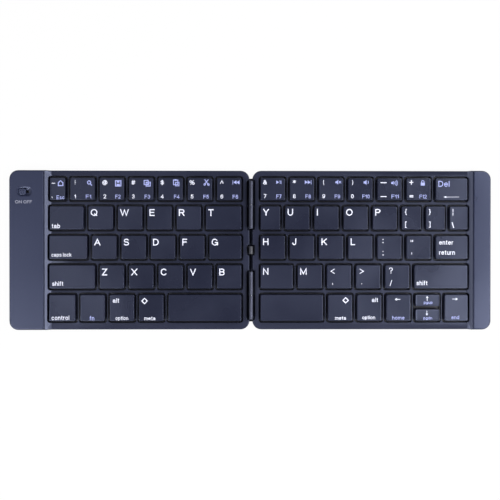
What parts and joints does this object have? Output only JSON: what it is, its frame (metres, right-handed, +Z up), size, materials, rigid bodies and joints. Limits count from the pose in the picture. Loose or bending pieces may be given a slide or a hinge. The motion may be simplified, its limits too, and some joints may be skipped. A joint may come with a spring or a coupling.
{
  "type": "folding keyboard",
  "caption": "Pocket wireless keyboard in two halves that fold face to face on a metal hinge, with scissor keys and a slide power switch.",
  "frame": {"origin": "bottom centre of the open keyboard: on the table under the feet, on the hinge line, midway between front and back", "axes": "+X to the typist's right, +Y away from the typist, +Z up"},
  "size_m": [0.296, 0.098, 0.0094],
  "materials": {
    "shell_plastic": "fine matt texture",
    "frame_plastic": "fine matt texture",
    "base_metal": "bead-blasted, dark anodised",
    "keycap_plastic": "satin with printed legends",
    "hinge_steel": "satin, dark",
    "pin_steel": "ground",
    "spring_wire": "drawn",
    "plate_steel": "black coated",
    "membrane_film": "printed dark film",
    "dome_silicone": "smooth",
    "scissor_plastic": "smooth",
    "magnet_nickel": "plated",
    "foot_rubber": "matt",
    "screw_steel": "black oxide",
    "flex_ribbon": "satin film",
    "board_laminate": "solder mask",
    "battery_foil": "foil pouch",
    "port_shell": "nickel plated",
    "switch_plastic": "smooth",
    "knob_plastic": "satin"
  },
  "bodies": {
    "left_half": {"left_base_cover": "base_metal", "left_key_frame": "frame_plastic", "left_bar_cover": "shell_plastic", "left_key_plate": "plate_steel", "left_membrane": "membrane_film", "left_domes": "dome_silicone", "left_scissors": "scissor_plastic", "left_stabilizer_wires": "spring_wire", "left_magnets": "magnet_nickel", "left_feet": "foot_rubber", "left_screws": "screw_steel", "left_hinge_brackets": "hinge_steel", "hinge_pins": "pin_steel", "flex_cable": "flex_ribbon", "circuit_board": "board_laminate", "battery": "battery_foil", "charge_port": "port_shell", "switch_body": "switch_plastic"},
    "right_half": {"right_base_cover": "base_metal", "right_key_frame": "frame_plastic", "right_bar_cover": "shell_plastic", "right_key_plate": "plate_steel", "right_membrane": "membrane_film", "right_domes": "dome_silicone", "right_scissors": "scissor_plastic", "right_stabilizer_wires": "spring_wire", "right_magnets": "magnet_nickel", "right_feet": "foot_rubber", "right_screws": "screw_steel", "right_hinge_brackets": "hinge_steel"},
    "switch_slider": {"power_switch_knob": "knob_plastic"},
    "key_esc_body": {"key_esc": "keycap_plastic"},
    "keys_1_to_6_body": {"keys_1_to_6": "keycap_plastic"},
    "key_tab_body": {"key_tab": "keycap_plastic"},
    "keys_q_to_t_body": {"keys_q_to_t": "keycap_plastic"},
    "key_caps_body": {"key_caps": "keycap_plastic"},
    "keys_a_to_g_body": {"keys_a_to_g": "keycap_plastic"},
    "key_shift_left_body": {"key_shift_left": "keycap_plastic"},
    "keys_z_to_b_body": {"keys_z_to_b": "keycap_plastic"},
    "key_ctrl_body": {"key_ctrl": "keycap_plastic"},
    "key_fn_body": {"key_fn": "keycap_plastic"},
    "key_alt_left_body": {"key_alt_left": "keycap_plastic"},
    "key_meta_left_body": {"key_meta_left": "keycap_plastic"},
    "key_space_left_body": {"key_space_left": "keycap_plastic"},
    "keys_7_to_equals_body": {"keys_7_to_equals": "keycap_plastic"},
    "key_delete_body": {"key_delete": "keycap_plastic"},
    "keys_y_to_p_body": {"keys_y_to_p": "keycap_plastic"},
    "keys_brackets_body": {"keys_brackets": "keycap_plastic"},
    "keys_h_to_l_body": {"keys_h_to_l": "keycap_plastic"},
    "keys_semicolon_quote_body": {"keys_semicolon_quote": "keycap_plastic"},
    "key_enter_body": {"key_enter": "keycap_plastic"},
    "keys_n_to_slash_body": {"keys_n_to_slash": "keycap_plastic"},
    "key_shift_right_body": {"key_shift_right": "keycap_plastic"},
    "key_space_right_body": {"key_space_right": "keycap_plastic"},
    "key_meta_right_body": {"key_meta_right": "keycap_plastic"},
    "key_alt_right_body": {"key_alt_right": "keycap_plastic"},
    "key_arrow_left_body": {"key_arrow_left": "keycap_plastic"},
    "key_arrow_up_body": {"key_arrow_up": "keycap_plastic"},
    "key_arrow_down_body": {"key_arrow_down": "keycap_plastic"},
    "key_arrow_right_body": {"key_arrow_right": "keycap_plastic"}
  },
  "joints": [
    {"name": "fold", "type": "hinge", "parent": "left_half", "child": "right_half", "pos_m": [0, 0, 0.0081], "axis": [0, -1, 0], "range_deg": [0, 180], "deforming": ["flex_cable"]},
    {"name": "power_switch", "type": "slide", "parent": "left_half", "child": "switch_slider", "axis": [1, 0, 0], "range_m": [0, 0.003]},
    {"name": "press_key_esc", "type": "slide", "parent": "left_half", "child": "key_esc_body", "axis": [0, 0, -1], "range_m": [0, 0.0014], "stiffness_N_per_m": 300, "springref_m": -0.0006, "deforming": ["left_domes", "left_scissors"]},
    {"name": "press_keys_1_to_6", "type": "slide", "parent": "left_half", "child": "keys_1_to_6_body", "axis": [0, 0, -1], "range_m": [0, 0.0014], "stiffness_N_per_m": 1800, "springref_m": -0.0006, "deforming": ["left_domes", "left_scissors"]},
    {"name": "press_key_tab", "type": "slide", "parent": "left_half", "child": "key_tab_body", "axis": [0, 0, -1], "range_m": [0, 0.0014], "stiffness_N_per_m": 300, "springref_m": -0.0006, "deforming": ["left_domes", "left_scissors"]},
    {"name": "press_keys_q_to_t", "type": "slide", "parent": "left_half", "child": "keys_q_to_t_body", "axis": [0, 0, -1], "range_m": [0, 0.0014], "stiffness_N_per_m": 1500, "springref_m": -0.0006, "deforming": ["left_domes", "left_scissors"]},
    {"name": "press_key_caps", "type": "slide", "parent": "left_half", "child": "key_caps_body", "axis": [0, 0, -1], "range_m": [0, 0.0014], "stiffness_N_per_m": 300, "springref_m": -0.0006, "deforming": ["left_domes", "left_scissors"]},
    {"name": "press_keys_a_to_g", "type": "slide", "parent": "left_half", "child": "keys_a_to_g_body", "axis": [0, 0, -1], "range_m": [0, 0.0014], "stiffness_N_per_m": 1500, "springref_m": -0.0006, "deforming": ["left_domes", "left_scissors"]},
    {"name": "press_key_shift_left", "type": "slide", "parent": "left_half", "child": "key_shift_left_body", "axis": [0, 0, -1], "range_m": [0, 0.0014], "stiffness_N_per_m": 300, "springref_m": -0.0006, "deforming": ["left_domes", "left_scissors", "left_stabilizer_wires"]},
    {"name": "press_keys_z_to_b", "type": "slide", "parent": "left_half", "child": "keys_z_to_b_body", "axis": [0, 0, -1], "range_m": [0, 0.0014], "stiffness_N_per_m": 1500, "springref_m": -0.0006, "deforming": ["left_domes", "left_scissors"]},
    {"name": "press_key_ctrl", "type": "slide", "parent": "left_half", "child": "key_ctrl_body", "axis": [0, 0, -1], "range_m": [0, 0.0014], "stiffness_N_per_m": 300, "springref_m": -0.0006, "deforming": ["left_domes", "left_scissors"]},
    {"name": "press_key_fn", "type": "slide", "parent": "left_half", "child": "key_fn_body", "axis": [0, 0, -1], "range_m": [0, 0.0014], "stiffness_N_per_m": 300, "springref_m": -0.0006, "deforming": ["left_domes", "left_scissors"]},
    {"name": "press_key_alt_left", "type": "slide", "parent": "left_half", "child": "key_alt_left_body", "axis": [0, 0, -1], "range_m": [0, 0.0014], "stiffness_N_per_m": 300, "springref_m": -0.0006, "deforming": ["left_domes", "left_scissors"]},
    {"name": "press_key_meta_left", "type": "slide", "parent": "left_half", "child": "key_meta_left_body", "axis": [0, 0, -1], "range_m": [0, 0.0014], "stiffness_N_per_m": 300, "springref_m": -0.0006, "deforming": ["left_domes", "left_scissors"]},
    {"name": "press_key_space_left", "type": "slide", "parent": "left_half", "child": "key_space_left_body", "axis": [0, 0, -1], "range_m": [0, 0.0014], "stiffness_N_per_m": 300, "springref_m": -0.0006, "deforming": ["left_domes", "left_scissors", "left_stabilizer_wires"]},
    {"name": "press_keys_7_to_equals", "type": "slide", "parent": "right_half", "child": "keys_7_to_equals_body", "axis": [0, 0, -1], "range_m": [0, 0.0014], "stiffness_N_per_m": 1800, "springref_m": -0.0006, "deforming": ["right_domes", "right_scissors"]},
    {"name": "press_key_delete", "type": "slide", "parent": "right_half", "child": "key_delete_body", "axis": [0, 0, -1], "range_m": [0, 0.0014], "stiffness_N_per_m": 300, "springref_m": -0.0006, "deforming": ["right_domes", "right_scissors"]},
    {"name": "press_keys_y_to_p", "type": "slide", "parent": "right_half", "child": "keys_y_to_p_body", "axis": [0, 0, -1], "range_m": [0, 0.0014], "stiffness_N_per_m": 1500, "springref_m": -0.0006, "deforming": ["right_domes", "right_scissors"]},
    {"name": "press_keys_brackets", "type": "slide", "parent": "right_half", "child": "keys_brackets_body", "axis": [0, 0, -1], "range_m": [0, 0.0014], "stiffness_N_per_m": 900, "springref_m": -0.0006, "deforming": ["right_domes", "right_scissors"]},
    {"name": "press_keys_h_to_l", "type": "slide", "parent": "right_half", "child": "keys_h_to_l_body", "axis": [0, 0, -1], "range_m": [0, 0.0014], "stiffness_N_per_m": 1200, "springref_m": -0.0006, "deforming": ["right_domes", "right_scissors"]},
    {"name": "press_keys_semicolon_quote", "type": "slide", "parent": "right_half", "child": "keys_semicolon_quote_body", "axis": [0, 0, -1], "range_m": [0, 0.0014], "stiffness_N_per_m": 600, "springref_m": -0.0006, "deforming": ["right_domes", "right_scissors"]},
    {"name": "press_key_enter", "type": "slide", "parent": "right_half", "child": "key_enter_body", "axis": [0, 0, -1], "range_m": [0, 0.0014], "stiffness_N_per_m": 300, "springref_m": -0.0006, "deforming": ["right_domes", "right_scissors"]},
    {"name": "press_keys_n_to_slash", "type": "slide", "parent": "right_half", "child": "keys_n_to_slash_body", "axis": [0, 0, -1], "range_m": [0, 0.0014], "stiffness_N_per_m": 1500, "springref_m": -0.0006, "deforming": ["right_domes", "right_scissors"]},
    {"name": "press_key_shift_right", "type": "slide", "parent": "right_half", "child": "key_shift_right_body", "axis": [0, 0, -1], "range_m": [0, 0.0014], "stiffness_N_per_m": 300, "springref_m": -0.0006, "deforming": ["right_domes", "right_scissors", "right_stabilizer_wires"]},
    {"name": "press_key_space_right", "type": "slide", "parent": "right_half", "child": "key_space_right_body", "axis": [0, 0, -1], "range_m": [0, 0.0014], "stiffness_N_per_m": 300, "springref_m": -0.0006, "deforming": ["right_domes", "right_scissors", "right_stabilizer_wires"]},
    {"name": "press_key_meta_right", "type": "slide", "parent": "right_half", "child": "key_meta_right_body", "axis": [0, 0, -1], "range_m": [0, 0.0014], "stiffness_N_per_m": 300, "springref_m": -0.0006, "deforming": ["right_domes", "right_scissors"]},
    {"name": "press_key_alt_right", "type": "slide", "parent": "right_half", "child": "key_alt_right_body", "axis": [0, 0, -1], "range_m": [0, 0.0014], "stiffness_N_per_m": 300, "springref_m": -0.0006, "deforming": ["right_domes", "right_scissors"]},
    {"name": "press_key_arrow_left", "type": "slide", "parent": "right_half", "child": "key_arrow_left_body", "axis": [0, 0, -1], "range_m": [0, 0.0014], "stiffness_N_per_m": 300, "springref_m": -0.0006, "deforming": ["right_domes", "right_scissors"]},
    {"name": "press_key_arrow_up", "type": "slide", "parent": "right_half", "child": "key_arrow_up_body", "axis": [0, 0, -1], "range_m": [0, 0.0014], "stiffness_N_per_m": 300, "springref_m": -0.0006, "deforming": ["right_domes", "right_scissors"]},
    {"name": "press_key_arrow_down", "type": "slide", "parent": "right_half", "child": "key_arrow_down_body", "axis": [0, 0, -1], "range_m": [0, 0.0014], "stiffness_N_per_m": 300, "springref_m": -0.0006, "deforming": ["right_domes", "right_scissors"]},
    {"name": "press_key_arrow_right", "type": "slide", "parent": "right_half", "child": "key_arrow_right_body", "axis": [0, 0, -1], "range_m": [0, 0.0014], "stiffness_N_per_m": 300, "springref_m": -0.0006, "deforming": ["right_domes", "right_scissors"]}
  ]
}
